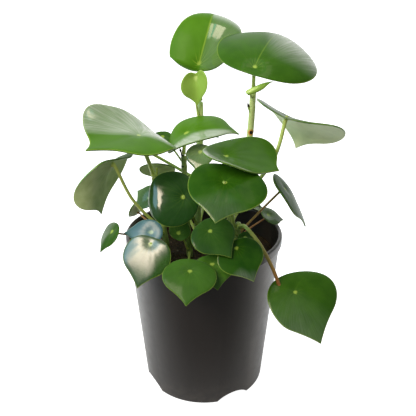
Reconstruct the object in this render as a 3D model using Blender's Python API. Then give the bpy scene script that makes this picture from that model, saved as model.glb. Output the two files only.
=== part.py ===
# A raindrop peperomia in a round nursery pot.
# Sizes are in millimetres and angles in degrees, +Z is up, and the front of the pot looks along -Y.
# The pot stands with its axis on the world's Z axis and its foot at Z = 0.

import bpy
import bmesh
import math
from mathutils import Vector

MM = 0.001
SMOOTH_ANGLE = 40

# Driving sizes of the pot
POT_HEIGHT = 148.0
RIM_RADIUS = 70.0
RIM_HEIGHT = 8.5
RIM_STEP = 2.0
FOOT_RADIUS = 55.5
WALL = 1.8
FOOT_RING = 3.0
FLOOR_HEIGHT = 8.6
FLOOR = 2.0
PAD_RADIUS = 18.0
EDGE = 0.8
POT_SIDES = 64

# Soil: its level, its unevenness, and the gap to the pot and to the stems
SOIL_TOP = 126.0
SOIL_SWELL = 1.1
SOIL_RIPPLE = 0.5
SOIL_SIDES = 40
GAP = 0.3

# The four drainage notches in the foot
NOTCHES = 4
NOTCH_HEIGHT = 8.0
NOTCH_ARC = 33.0
NOTCH_STEPS = 12
FIRST_NOTCH = 29.0

# Blades and petioles
LARGE_LEAF = 50.0
LARGE_SPOKES = 20
LARGE_RINGS = 4
SMALL_SPOKES = 14
SMALL_RINGS = 3
PETIOLE = 1.4
LARGE_BLADE = 1.3
SMALL_BLADE = 1.0
DIMPLE = 1.6
DIMPLE_RADIUS = 6.0
FLANK = 40.0
FLANK_POWER = 1.25
DRIP = 0.1
DRIP_TURN = 0.14
TIP_CROWDING = 0.4
CURL_START = 0.55
RIDGE = 3.0
ROOT_GAP = 0.4
STANDARD_BEND = (15, 15, 10, 10)

# Stems: points of the centreline, and the radius at the foot and at the top
STEM_SIDES = 10
STEM_RINGS = 10
STEM_ROOT = 22.0
STEMS = {
    "stem_middle": dict(path=[(-6, 10, 150), (-4.5, 22, 195), (-3, 33, 232), (-3, 36, 258)],
                        foot=(-6, 8), radius=(3.4, 2.3)),
    "stem_tall": dict(path=[(22, 6, 150), (34.5, 13, 198), (40, 14, 235), (41.5, 12, 273)],
                      foot=(18, 4), radius=(3.4, 2.6)),
    "stem_front": dict(path=[(-15, -6, 160), (-17, -5, 222)], foot=(-13, -6), radius=(3.2, 2.3)),
    "stem_left": dict(path=[(-36, -8, 157), (-43, -5, 203)], foot=(-33, -6), radius=(3.2, 2.2)),
    "stem_right": dict(path=[(28, -18, 146), (30, -20, 166)], foot=(25, -15), radius=(3.4, 2.6)),
}


def row(at, face, turn, size, bend, stem, height, **more):
    return dict(at=at, face=face, turn=turn, size=size, bend=bend, stem=stem, height=height, **more)


# Leaves. at: where the petiole meets the blade. face: the way the blade looks, as a turn round
# the pot from the front (to the right is positive) and a lift above level. turn: the tip's turn
# from straight downhill. size: length and width. bend: how far the blade curves down toward its
# tip, its base, its right and its left. curl: how much further its outer part does so toward the
# tip. fold: how far the right and the left half slope down from the midrib. share: how much of the
# length lies behind the petiole, and notch: how deep the blade is cut in there. flank: how soon
# the sides draw in toward the tip, and drip: how far the point is drawn out. lean and sweep push
# the tip or the sides over. dimple: the hollow over the petiole. crowd: how much closer the points
# of the margin stand near the tip. petiole: its radius. stem and height: where the petiole starts,
# and via: points that it passes on its way.
LEAVES = {
    "leaf_01": row((-4.5, 44, 288), (0, 16), 165, (74, 60), (42, 80, 25, 15), "stem_middle", 258,
                   share=0.12, lean=-0.38, curl=50, flank=22, drip=0),
    "leaf_02": row((-7, 26, 281), (-5, 5), 4, (31, 23), (0, 0, 0, 0), "stem_middle", 246, share=0.2,
                   notch=0.3, fold=(-30, -30), crowd=0, lean=-0.15, petiole=1.0, via=[(-7, 31, 262)],
                   sweep=-1.2),
    "leaf_03": row((41, 0, 295), (0, 54), 158, (87, 91), (45, 10, 25, 30), "stem_tall", 273, share=0.1,
                   sweep=-4, petiole=1.5, flank=26, drip=0.03),
    "leaf_04": row((72, 18, 249.5), (110, 70), 34, (66, 85), (48, 10, -16, -22), "stem_tall", 175,
                   sweep=-3, lean=-0.12, petiole=1.7, via=[(60, 8, 212)], flank=30, drip=0.25,
                   share=0.1, curl=50),
    "leaf_05": row((-52, -20, 245), (0, 82), -48, (76, 80), (-5, 50, 15, -37), "stem_left", 203,
                   share=0.33, lean=-0.22, petiole=1.8, flank=30, drip=0.3, sweep=-6.5),
    "leaf_06": row((-77, -25, 221), (-112, 19), 6, (56, 57), (15, 75, -60, 5), "stem_left", 157,
                   share=0.18, lean=0.48, via=[(-60, -22, 188)], flank=32, drip=0.25),
    "leaf_07": row((-16, 6, 238.5), (-30, 66), 128, (69, 46), (35, 45, 10, -25), "stem_front", 222,
                   lean=0.4, curl=15, flank=30, drip=0.22),
    "leaf_08": row((18, -36, 232.5), (60, 66), 30, (62, 67), (-6, -10, -5, -40), "stem_right", 160,
                   share=0.27, lean=0.5, sweep=8.5, flank=24),
    "leaf_09": row((16.5, -59, 219), (3, 62), -14, (61, 62.5), STANDARD_BEND, "stem_right", 155,
                   share=0.37, notch=0.12, petiole=1.5, flank=34, sweep=3),
    "leaf_10": row((-16, -35, 196), (5, 35), -85, (47, 48), (18, 15, 20, 15), "stem_middle", 150,
                   petiole=1.2, curl=50, drip=0, flank=12),
    "leaf_11": row((5, -58, 177), (5, 55), 33, (40, 38), STANDARD_BEND, "stem_right", 150, petiole=1.1),
    "leaf_12": row((26, -64, 165), (15, 50), 17, (38, 40), STANDARD_BEND, "stem_right", 145, share=0.17,
                   petiole=1.1),
    "leaf_13": row((-10.5, -80, 153), (0, 60), -5, (41, 43), (20, 15, 10, 10), "stem_front", 130,
                   petiole=1.1, via=[(-13, -30, 134), (-13, -50, 144), (-12.5, -67, 151.2)]),
    "leaf_14": row((7, -69, 153), (5, 50), 8, (31, 36), STANDARD_BEND, "stem_right", 140, petiole=1.0),
    "leaf_15": row((-43, -55, 164), (-12, 42), -10, (45, 41), (20, 30, 10, 10), "stem_left", 140,
                   share=0.14, petiole=1.0, via=[(-42, -45, 144), (-38, -24, 141)]),
    "leaf_16": row((-44, -33, 163), (-12, 42), -85, (36, 23), (20, 20, 10, 10), "stem_left", 152,
                   petiole=0.9),
    "leaf_17": row((-78.5, -30, 163), (-60, 40), 0, (30, 24), STANDARD_BEND, "stem_left", 140,
                   petiole=0.8),
    "leaf_18": row((-65, 34, 152.5), (-120, 20), 180, (28, 32), STANDARD_BEND, "stem_left", 150,
                   share=0.15, petiole=0.8, via=[(-54, 12, 154.5)], drip=0),
    "leaf_19": row((73, 10, 186), (85, 38), 0, (59, 47), (20, 20, 10, 10), "stem_right", 155,
                   petiole=1.1),
    "leaf_20": row((59, 15, 158), (60, 60), 45, (26, 22), STANDARD_BEND, "stem_right", 150,
                   petiole=0.8),
    "leaf_21": row((76, -60, 121.5), (20, 52), 12, (65, 66), (20, 20, 10, 15), "stem_right", 163,
                   sweep=6, petiole=1.6,
                   via=[(35, -34, 168), (46.5, -47, 158), (57, -54.5, 140), (66, -56.5, 118)]),
    "leaf_22": row((-22, -25, 158), (0, 45), 150, (22, 19), STANDARD_BEND, "stem_front", 135,
                   petiole=0.8),
    "leaf_23": row((35, -36, 160), (20, 45), 20, (19, 16), STANDARD_BEND, "stem_right", 142,
                   petiole=0.8),
    "leaf_24": row((-41, 8, 207), (180, 40), 0, (28, 32), STANDARD_BEND, "stem_left", 190, petiole=0.9),
    "leaf_25": row((-36, 15, 233), (0, 60), 0, (24, 18), STANDARD_BEND, "stem_front", 215, petiole=0.8),
    "leaf_26": row((-3, -12, 228), (-10, 50), 0, (28, 24), STANDARD_BEND, "stem_middle", 205,
                   petiole=0.9),
    "leaf_27": row((-64, 32, 226), (-150, 70), 0, (46, 40), (20, 15, 10, 10), "stem_middle", 190,
                   via=[(-34, 30, 203)]),
    "leaf_28": row((-6, 46, 224), (180, 75), 0, (44, 40), (20, 15, 10, 10), "stem_middle", 205),
    "leaf_29": row((18, 52, 186), (170, 50), 0, (54, 48), (20, 15, 10, 10), "stem_tall", 165),
    "leaf_30": row((-32, 46, 170), (-155, 45), 0, (46, 38), (20, 15, 10, 10), "stem_middle", 145),
    "leaf_31": row((40, 48, 160), (140, 45), 0, (40, 36), (20, 15, 10, 10), "stem_tall", 145),
    "leaf_32": row((2, 78, 158), (180, 50), 0, (42, 36), (20, 15, 10, 10), "stem_middle", 140),
    "leaf_33": row((-50.5, 15, 174), (-40, 40), -100, (27, 24), STANDARD_BEND, "stem_left", 165,
                   petiole=0.9),
    "leaf_34": row((35.5, 0, 274.5), (-30, 40), 126, (24, 8), (10, 10, 75, 75), "stem_tall", 268,
                   share=0.06, petiole=0.9, dimple=0.3),
}


# Materials

def material(name, colour, roughness):
    made = bpy.data.materials.new(name)
    made.use_nodes = True
    surface = made.node_tree.nodes["Principled BSDF"]
    surface.inputs["Base Color"].default_value = (*colour, 1.0)
    surface.inputs["Roughness"].default_value = roughness
    surface.inputs["Metallic"].default_value = 0.0
    return made


# Meshes and objects

def add_object(name, bm, made_of):
    bmesh.ops.recalc_face_normals(bm, faces=bm.faces)
    mesh = bpy.data.meshes.new(name)
    bm.to_mesh(mesh)
    bm.free()
    mesh.materials.append(made_of)
    mesh.shade_smooth()
    mesh.set_sharp_from_angle(angle=math.radians(SMOOTH_ANGLE))
    piece = bpy.data.objects.new(name, mesh)
    bpy.context.collection.objects.link(piece)
    return piece


def cut(piece, cutter):
    cutter.hide_render = True
    cutter.display_type = "WIRE"
    modifier = piece.modifiers.new("cut " + cutter.name, "BOOLEAN")
    modifier.operation = "DIFFERENCE"
    modifier.solver = "EXACT"
    modifier.object = cutter


def turned(profile, sides):
    """A body turned round Z from (radius, height) points that start and end on the axis."""
    bm = bmesh.new()
    points = [bm.verts.new((radius * MM, 0, height * MM)) for radius, height in profile]
    edges = [bm.edges.new(pair) for pair in zip(points, points[1:])]
    bmesh.ops.spin(bm, geom=points + edges, cent=(0, 0, 0), axis=(0, 0, 1),
                   angle=math.tau, steps=sides)
    bmesh.ops.remove_doubles(bm, verts=bm.verts, dist=0.01 * MM)
    return bm


# Pot

def wall_radius(height):
    """Outer radius of the tapered wall."""
    wall_top = POT_HEIGHT - RIM_HEIGHT
    return FOOT_RADIUS + (RIM_RADIUS - RIM_STEP - FOOT_RADIUS) * height / wall_top


def pot_profile():
    """Half of the pot's section, from the middle of the underside out, up and back inside."""
    wall_top = POT_HEIGHT - RIM_HEIGHT
    floor_top = FLOOR_HEIGHT + FLOOR
    bore = RIM_RADIUS - RIM_STEP - WALL
    return [
        (0, 0),
        (PAD_RADIUS, 0),
        (PAD_RADIUS + FLOOR, FLOOR_HEIGHT),
        (FOOT_RADIUS - FOOT_RING, FLOOR_HEIGHT),
        (FOOT_RADIUS - FOOT_RING, 0),
        (FOOT_RADIUS - EDGE / 2, 0),
        (wall_radius(EDGE), EDGE),
        (wall_radius(wall_top - EDGE), wall_top - EDGE),
        (RIM_RADIUS - EDGE / 2, wall_top),
        (RIM_RADIUS, wall_top + EDGE),
        (RIM_RADIUS, POT_HEIGHT - EDGE),
        (RIM_RADIUS - EDGE, POT_HEIGHT),
        (bore + EDGE, POT_HEIGHT),
        (bore, POT_HEIGHT - EDGE),
        (bore, wall_top),
        (wall_radius(floor_top + FLOOR) - WALL, floor_top + FLOOR),
        (wall_radius(floor_top) - WALL - FLOOR, floor_top),
        (PAD_RADIUS, floor_top),
        (PAD_RADIUS - FOOT_RING, FLOOR),
        (0, FLOOR),
    ]


def notch_cutter():
    """Arches that run out through the foot ring and start below it."""
    bm = bmesh.new()
    half_width = FOOT_RADIUS * math.sin(math.radians(NOTCH_ARC / 2))
    inner = FOOT_RADIUS - 3 * FOOT_RING
    outer = FOOT_RADIUS + 2 * FOOT_RING
    below = -FLOOR
    for number in range(NOTCHES):
        middle = math.radians(FIRST_NOTCH) + math.tau * number / NOTCHES
        out = Vector((math.sin(middle), -math.cos(middle), 0))
        along = Vector((math.cos(middle), math.sin(middle), 0))
        arch = [(-half_width, below)]
        for step in range(1, NOTCH_STEPS):
            place = 2 * step / NOTCH_STEPS - 1
            arch.append((half_width * place, NOTCH_HEIGHT * (1 - place * place) ** 0.8))
        arch.append((half_width, below))
        ends = []
        for reach in (inner, outer):
            ends.append([bm.verts.new((out * reach + along * x + Vector((0, 0, z))) * MM)
                         for x, z in arch])
        near, far = ends
        bm.faces.new(near)
        bm.faces.new(reversed(far))
        for index in range(len(arch)):
            after = (index + 1) % len(arch)
            bm.faces.new((near[after], near[index], far[index], far[after]))
    return bm


def add_pot():
    plastic = material("charcoal plastic", (0.028, 0.026, 0.024), 0.5)
    pot = add_object("pot", turned(pot_profile(), POT_SIDES), plastic)
    cut(pot, add_object("notch_cutter", notch_cutter(), plastic))


# Soil

def soil_profile():
    """Half of the soil's section, clear of the pot by the gap all the way round."""
    floor_top = FLOOR_HEIGHT + FLOOR
    edge = wall_radius(SOIL_TOP) - WALL - GAP
    low = FLOOR + GAP
    profile = [
        (0, low),
        (PAD_RADIUS - FOOT_RING - 2 * GAP, low),
        (PAD_RADIUS - 2 * GAP, floor_top + GAP),
        (wall_radius(floor_top) - WALL - FLOOR - 2 * GAP, floor_top + GAP),
        (wall_radius(floor_top + FLOOR) - WALL - 1.5 * GAP, floor_top + FLOOR + GAP),
        (edge, SOIL_TOP - EDGE),
        (edge - EDGE, SOIL_TOP),
    ]
    rings = 5
    profile += [(edge * (1 - (ring + 1) / rings), SOIL_TOP) for ring in range(rings)]
    return profile


def hole_cutter():
    """A plain upright hole for each stem."""
    bm = bmesh.new()
    sides = 16
    for stem in STEMS.values():
        x, y = stem["foot"]
        bore = stem["radius"][0] + GAP + 0.2
        ends = []
        for height in (SOIL_TOP - STEM_ROOT - GAP, SOIL_TOP + 10):
            ring = []
            for side in range(sides):
                turn = math.tau * side / sides
                place = Vector((x + bore * math.cos(turn), y + bore * math.sin(turn), height))
                ring.append(bm.verts.new(place * MM))
            ends.append(ring)
        low, high = ends
        bm.faces.new(reversed(low))
        bm.faces.new(high)
        for side in range(sides):
            after = (side + 1) % sides
            bm.faces.new((low[side], low[after], high[after], high[side]))
    return bm


def add_soil():
    """The soil fills the pot, has an uneven top and a hole for each stem."""
    loam = material("dark soil", (0.016, 0.011, 0.008), 0.95)
    bm = turned(soil_profile(), SOIL_SIDES)
    level_edge = wall_radius(SOIL_TOP) - WALL - 2
    for vert in bm.verts:
        x, y, z = vert.co / MM
        if z > SOIL_TOP - EDGE / 2 and math.hypot(x, y) < level_edge:
            swell = SOIL_SWELL * math.sin(0.13 * x + 1) * math.cos(0.17 * y)
            vert.co.z += (swell + SOIL_RIPPLE * math.sin(0.31 * y)) * MM
    cut(add_object("soil", bm, loam), add_object("hole_cutter", hole_cutter(), loam))


# Curves and tubes

def smooth_points(points, count):
    """Points spread along a smooth curve through the given ones."""
    points = [Vector(point) for point in points]
    points = [2 * points[0] - points[1], *points, 2 * points[-1] - points[-2]]
    spans = len(points) - 3
    curve = []
    for step in range(count):
        place = spans * step / (count - 1)
        span = min(int(place), spans - 1)
        u = place - span
        a, b, c, d = points[span:span + 4]
        curve.append(0.5 * (2 * b + (c - a) * u + (2 * a - 5 * b + 4 * c - d) * u ** 2
                            + (3 * b - a - 3 * c + d) * u ** 3))
    return curve


def add_rings(bm, curve, radii, sides, side=None):
    """Rings of vertices along a curve, joined by triangles. Returns the first and last ring."""
    rings = []
    for index, point in enumerate(curve):
        before = curve[max(index - 1, 0)]
        after = curve[min(index + 1, len(curve) - 1)]
        ahead = (after - before).normalized()
        if side is None:
            side = ahead.orthogonal()
        side = (side - ahead * side.dot(ahead)).normalized()
        up = ahead.cross(side)
        ring = []
        for k in range(sides):
            turn = math.tau * k / sides
            out = side * math.cos(turn) + up * math.sin(turn)
            ring.append(bm.verts.new((point + radii[index] * out) * MM))
        rings.append(ring)
    for ring, following in zip(rings, rings[1:]):
        for k in range(sides):
            after = (k + 1) % sides
            bm.faces.new((ring[k], ring[after], following[after]))
            bm.faces.new((ring[k], following[after], following[k]))
    return rings[0], rings[-1]


def close_ring(bm, ring, middle):
    """A flat fan of triangles over the end of a tube."""
    centre = bm.verts.new(middle * MM)
    for k in range(len(ring)):
        bm.faces.new((ring[k], ring[(k + 1) % len(ring)], centre))


# Stems

def stem_curve(stem, count):
    x, y = stem["foot"]
    foot = [(x, y, SOIL_TOP - STEM_ROOT), (x, y, SOIL_TOP + 4)]
    return smooth_points([*foot, *stem["path"]], count)


def stem_point(stem, height):
    """Centre, direction and radius of a stem at a height."""
    curve = stem_curve(stem, 120)
    index = min(range(len(curve)), key=lambda k: abs(curve[k].z - height))
    ahead = (curve[min(index + 1, len(curve) - 1)] - curve[max(index - 1, 0)]).normalized()
    foot, top = stem["radius"]
    return curve[index], ahead, foot + (top - foot) * index / (len(curve) - 1)


def add_stems():
    green = material("stem green", (0.24, 0.36, 0.08), 0.45)
    for name, stem in STEMS.items():
        bm = bmesh.new()
        foot, top = stem["radius"]
        curve = stem_curve(stem, STEM_RINGS)
        radii = [foot + (top - foot) * k / (STEM_RINGS - 1) for k in range(STEM_RINGS)]
        first, last = add_rings(bm, curve, radii, STEM_SIDES)
        close_ring(bm, first, curve[0])
        close_ring(bm, last, curve[-1])
        add_object(name, bm, green)


# Leaves

def leaf_axes(leaf):
    """Directions of the blade at the petiole: toward its tip, to its right, and out of its face."""
    round_pot, lift = (math.radians(angle) for angle in leaf["face"])
    out = Vector((math.sin(round_pot) * math.cos(lift), -math.cos(round_pot) * math.cos(lift),
                  math.sin(lift)))
    downhill = Vector((math.sin(round_pot) * math.sin(lift), -math.cos(round_pot) * math.sin(lift),
                       -math.cos(lift)))
    turn = math.radians(leaf["turn"])
    tip = downhill * math.cos(turn) + out.cross(downhill) * math.sin(turn)
    return tip, out.cross(tip), out


def margin(leaf, turn):
    """The blade's outline, as lengths toward the tip and to the right, at an angle from the tip."""
    length, width = leaf["size"]
    radius = width / 2
    flank = math.radians(leaf.get("flank", FLANK))
    drip = leaf.get("drip", DRIP) * radius
    tip_radius = radius / math.cos(flank) ** FLANK_POWER + drip
    notch = leaf.get("notch", 0.05)
    reach = radius / math.cos(max(0.0, flank - abs(turn))) ** FLANK_POWER
    reach *= 1 - notch * max(0.0, -math.cos(turn)) ** (6 + 30 * notch)
    reach += drip * math.exp(-abs(turn) / DRIP_TURN)
    stretch = length / (0.95 * radius + tip_radius)
    centre = stretch * 0.95 * radius - leaf.get("share", 0.27) * length
    along = stretch * reach * math.cos(turn) + centre
    across = reach * math.sin(turn) + leaf.get("sweep", 0) * math.sin(turn) ** 2
    return along + leaf.get("lean", 0) * across, across


def arc(distance, angle, reach):
    """Length along and drop of a strip that bends by the angle over the reach."""
    rate = angle / reach if abs(angle) > 1e-4 else 1e-4 / reach
    return math.sin(rate * distance) / rate, (1 - math.cos(rate * distance)) / rate, rate * distance


def curling_arc(distance, angle, curl, reach):
    """The same, where the outer part bends by the curl as well."""
    inner = min(distance, CURL_START * reach)
    forward, drop, slope = arc(inner, angle, reach)
    outer = (1 - CURL_START) * reach
    ahead, down, turned_by = arc(distance - inner, angle * (1 - CURL_START) + curl, outer)
    forward += ahead * math.cos(slope) - down * math.sin(slope)
    drop += ahead * math.sin(slope) + down * math.cos(slope)
    return forward, drop, slope + turned_by


def blade_point(leaf, turn, share_out):
    """A point of the upper face, from the petiole (0) to the margin (1)."""
    length, width = leaf["size"]
    tip, right, out = leaf_axes(leaf)
    edge_along, edge_across = margin(leaf, turn)
    edge = math.hypot(edge_along, edge_across)
    start = leaf.get("petiole", PETIOLE) / edge
    along = edge_along * (start + (1 - start) * share_out)
    across = edge_across * (start + (1 - start) * share_out)
    base_share = leaf.get("share", 0.27)
    bend_tip, bend_base, bend_right, bend_left = (math.radians(angle) for angle in leaf["bend"])
    if along > 0:
        curl = math.radians(leaf.get("curl", 0))
        forward, drop, slope = curling_arc(along, bend_tip, curl, length * (1 - base_share))
    else:
        forward, drop, slope = arc(along, bend_base, length * base_share)
    sideways, fall, _ = arc(across, bend_right if across > 0 else bend_left, width / 2)
    fold_right, fold_left = leaf.get("fold", (0, 0))
    fold = math.radians(fold_right if across > 0 else fold_left)
    fall += (math.hypot(across, RIDGE) - RIDGE) * math.tan(fold)
    fall += leaf.get("dimple", DIMPLE) * math.exp(-(along ** 2 + across ** 2) / DIMPLE_RADIUS ** 2)
    tilted = out * math.cos(slope) + tip * math.sin(slope)
    return Vector(leaf["at"]) + tip * forward - out * drop + right * sideways - tilted * fall


def blade_normal(leaf, turn, share_out):
    step = 0.02
    outward = blade_point(leaf, turn, share_out + step) - blade_point(leaf, turn, share_out - step)
    sideways = blade_point(leaf, turn + step, share_out) - blade_point(leaf, turn - step, share_out)
    return outward.cross(sideways).normalized()


def petiole_curve(leaf, thickness, count):
    """From the underside of the blade down to the stem, ending just clear of the stem's side."""
    _, _, out = leaf_axes(leaf)
    end = Vector(leaf["at"]) - out * (leaf.get("dimple", DIMPLE) + thickness)
    middle, ahead, stem_radius = stem_point(STEMS[leaf["stem"]], leaf["height"])
    via = [Vector(point) for point in leaf.get("via", [(middle + end) / 2])]
    radius = leaf.get("petiole", PETIOLE)
    if leaf["height"] >= STEMS[leaf["stem"]]["path"][-1][2] - 1:
        tilt = (via[0] - middle).angle(ahead)
        root = middle + ahead * (ROOT_GAP + radius * math.sin(tilt))
    else:
        leaving = (via[0] - middle).normalized()
        outward = (leaving - ahead * leaving.dot(ahead)).normalized()
        root = middle + outward * (stem_radius + ROOT_GAP + radius * leaving.dot(ahead))
    below = end - out * 3
    return list(reversed(smooth_points([root, *via, below, end], count)))


def add_leaf(name, leaf, made_of):
    """A blade and its petiole as one closed body."""
    large = leaf["size"][0] > LARGE_LEAF
    spokes = LARGE_SPOKES if large else SMALL_SPOKES
    ring_count = LARGE_RINGS if large else SMALL_RINGS
    thickness = LARGE_BLADE if large else SMALL_BLADE
    tip, _, out = leaf_axes(leaf)
    bm = bmesh.new()
    upper = []
    lower = []
    for ring in range(1, ring_count + 1):
        share_out = ring / ring_count
        upper_ring = []
        lower_ring = []
        for spoke in range(spokes):
            turn = math.tau * spoke / spokes
            if turn > math.pi:
                turn -= math.tau
            turn -= leaf.get("crowd", TIP_CROWDING) * math.sin(turn)
            point = blade_point(leaf, turn, share_out)
            normal = blade_normal(leaf, turn, share_out)
            upper_ring.append(bm.verts.new(point * MM))
            lower_ring.append(bm.verts.new((point - normal * thickness) * MM))
        upper.append(upper_ring)
        lower.append(lower_ring)
    centre = bm.verts.new((Vector(leaf["at"]) - out * leaf.get("dimple", DIMPLE)) * MM)
    for spoke in range(spokes):
        after = (spoke + 1) % spokes
        bm.faces.new((centre, upper[0][spoke], upper[0][after]))
        for inner, outer in zip(upper, upper[1:]):
            bm.faces.new((inner[spoke], outer[spoke], outer[after]))
            bm.faces.new((inner[spoke], outer[after], inner[after]))
        for inner, outer in zip(lower, lower[1:]):
            bm.faces.new((inner[spoke], outer[after], outer[spoke]))
            bm.faces.new((inner[spoke], inner[after], outer[after]))
        bm.faces.new((upper[-1][spoke], lower[-1][spoke], lower[-1][after]))
        bm.faces.new((upper[-1][spoke], lower[-1][after], upper[-1][after]))
    sides = spokes // 2
    curve = petiole_curve(leaf, thickness, 8 if large else 6)
    radii = [leaf.get("petiole", PETIOLE)] * len(curve)
    first, last = add_rings(bm, curve, radii, sides, tip)
    close_ring(bm, last, curve[-1])
    # The petiole's rings run the other way round than the spokes, so they are matched by angle.
    collar = [first[-k % sides] for k in range(sides)]
    for side in range(sides):
        near = lower[0][2 * side]
        between = lower[0][2 * side + 1]
        far = lower[0][(2 * side + 2) % spokes]
        this = collar[side]
        following = collar[(side + 1) % sides]
        bm.faces.new((near, this, between))
        bm.faces.new((between, this, following))
        bm.faces.new((between, following, far))
    add_object(name, bm, made_of)


def add_leaves():
    green = material("leaf green", (0.045, 0.13, 0.02), 0.3)
    young = material("young leaf", (0.26, 0.45, 0.06), 0.35)
    for name, leaf in LEAVES.items():
        add_leaf(name, leaf, young if name in ("leaf_02", "leaf_34") else green)


for old in list(bpy.data.objects):
    bpy.data.objects.remove(old, do_unlink=True)

add_pot()
add_soil()
add_stems()
add_leaves()
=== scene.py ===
import bpy
import math
import numpy as np
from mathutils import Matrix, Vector, noise


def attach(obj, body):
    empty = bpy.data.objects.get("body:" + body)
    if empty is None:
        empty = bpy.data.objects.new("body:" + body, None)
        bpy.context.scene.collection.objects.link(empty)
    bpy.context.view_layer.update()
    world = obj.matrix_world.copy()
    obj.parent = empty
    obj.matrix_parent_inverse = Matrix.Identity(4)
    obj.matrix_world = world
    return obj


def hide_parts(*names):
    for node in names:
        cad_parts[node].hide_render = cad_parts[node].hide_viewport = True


# A raindrop peperomia in a round nursery pot, in the frame of its solids.
# Lengths are in millimetres and angles in degrees, +Z is up, and the front looks along -Y. Only
# the camera, the lights, the floor and the patterns of the materials are in metres.

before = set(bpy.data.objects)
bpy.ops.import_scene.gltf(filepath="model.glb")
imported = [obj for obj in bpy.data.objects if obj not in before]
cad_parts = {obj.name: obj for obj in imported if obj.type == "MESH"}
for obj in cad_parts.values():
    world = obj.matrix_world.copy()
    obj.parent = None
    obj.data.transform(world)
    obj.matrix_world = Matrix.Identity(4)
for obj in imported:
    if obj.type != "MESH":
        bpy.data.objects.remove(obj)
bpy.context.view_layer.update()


# Camera and studio
# The camera stands half a metre in front of the pot and a little above it. The floor and the
# surroundings are white, two tall window panels give the leaves their gloss, and four narrow
# lights close above the top leaf give it the broken reflection of a window.

CAMERA_PLACE = (0.0036, -0.508, 0.393)
CAMERA_TILT = 66.34
CAMERA_LENS = 54.2
# Where a mixing node has the colours that it mixes, and the colour that it makes.
MIXED_COLOURS = slice(6, 8)
MIXED_RESULT = 2
WHITE = (1, 1, 1, 1)
WHITE_STRENGTH = 1.1
FLOOR_SIZE = 14.0
FLOOR_LEVEL = -0.00005
FLOOR_DIM_UNTIL = -0.14
FLOOR_WHITE_FROM = 0.10
WINDOW_TARGET = (-0.03, -0.04, 0.2)
# Each window: its name, place, size, power and colour.
WINDOWS = (
    ("warm window", (-0.56, -0.68, 1.02), (0.36, 0.80), 12, (255, 236, 212)),
    ("cool window", (-1.02, -0.38, 1.0), (0.72, 1.1), 10, (160, 206, 232)),
)
BARS_DEPTH = -0.03
BARS_HEIGHT = 0.55
BARS_LENGTH = 0.17
# Each narrow light: its place from left to right, its width, power and colour.
WINDOW_BARS = (
    (0.022, 0.009, 0.012, (120, 205, 200)),
    (0.042, 0.024, 0.045, (255, 244, 214)),
    (0.070, 0.026, 0.030, (110, 200, 196)),
    (0.115, 0.056, 0.105, (255, 240, 214)),
)


def screen(red, green, blue):
    """A colour given as a screen shows it, from 0 to 255, as light."""
    parts = (value / 255 for value in (red, green, blue))
    return (*(p / 12.92 if p <= 0.04 else ((p + 0.055) / 1.055) ** 2.4 for p in parts), 1.0)


def plug(socket, value):
    """Gives a socket a fixed value, or the output of another node."""
    if isinstance(value, bpy.types.NodeSocket):
        socket.id_data.links.new(value, socket)
    else:
        socket.default_value = value


def node(tree, kind, settings=None, **inputs):
    """Adds a node, with its settings, and its inputs by name with underscores for spaces."""
    made = tree.nodes.new("ShaderNode" + kind)
    for setting, value in (settings or {}).items():
        setattr(made, setting, value)
    for title, value in inputs.items():
        plug(made.inputs[title.replace("_", " ")], value)
    return made


def feed(made, *values):
    """Gives a node its inputs in their order, and returns its first output."""
    for socket, value in zip(made.inputs, values):
        plug(socket, value)
    return made.outputs[0]


def calc(operation, *values):
    """The result of a sum on numbers and outputs, in the tree of the outputs."""
    tree = next(value.id_data for value in values if isinstance(value, bpy.types.NodeSocket))
    return feed(node(tree, "Math", {"operation": operation}), *values)


def times(first, second):
    """The product of two numbers or outputs."""
    return calc("MULTIPLY", first, second)


def ramp(value, slope, start):
    """Begins at the start, and grows by the slope while the value goes from 0 to 1."""
    return calc("MULTIPLY_ADD", value, slope, start)


def fade(value, start, end):
    """Rises smoothly from 0 to 1 while the value goes from start to end."""
    made = node(value.id_data, "MapRange", {"interpolation_type": "SMOOTHSTEP"})
    return feed(made, value, start, end)


def mix(share, *colours):
    """The first colour turning into the second as the share goes from 0 to 1."""
    made = node(share.id_data, "Mix", {"data_type": "RGBA"})
    plug(made.inputs[0], share)
    for socket, colour in zip(made.inputs[MIXED_COLOURS], colours):
        plug(socket, screen(*colour) if isinstance(colour, tuple) else colour)
    return made.outputs[MIXED_RESULT]


def split(vector):
    """The three numbers of a vector."""
    return node(vector.id_data, "SeparateXYZ", Vector=vector).outputs


def finish(name, **fixed):
    """A new material with its shader's fixed values, its node tree and its shader's inputs."""
    made = bpy.data.materials.new(name)
    made.use_nodes = True
    shader = made.node_tree.nodes["Principled BSDF"]
    for title, value in fixed.items():
        shader.inputs[title.replace("_", " ")].default_value = value
    return made, made.node_tree, shader.inputs


def add_camera():
    bpy.ops.object.camera_add(location=CAMERA_PLACE, rotation=(math.radians(CAMERA_TILT), 0, 0))
    camera = bpy.context.object
    camera.data.lens = CAMERA_LENS
    bpy.context.scene.camera = camera
    bpy.context.scene.view_settings.view_transform = "Standard"


def add_surroundings():
    """White for the camera. In reflections, a dim room overhead and on the camera's side."""
    world = bpy.data.worlds.new("white studio")
    world.use_nodes = True
    bpy.context.scene.world = world
    tree = world.node_tree
    tree.nodes.clear()
    behind = fade(split(node(tree, "TexCoord").outputs["Generated"])["Y"], 0.2, 0.85)
    room = mix(behind, (134, 138, 142), (252, 252, 252))
    strength = ramp(behind, 0.3, WHITE_STRENGTH)
    room_light = feed(node(tree, "Background"), room, strength)
    white_light = feed(node(tree, "Background"), WHITE, WHITE_STRENGTH)
    seen = node(tree, "LightPath").outputs["Is Camera Ray"]
    light = feed(node(tree, "MixShader"), seen, room_light, white_light)
    plug(node(tree, "OutputWorld").inputs["Surface"], light)


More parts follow.
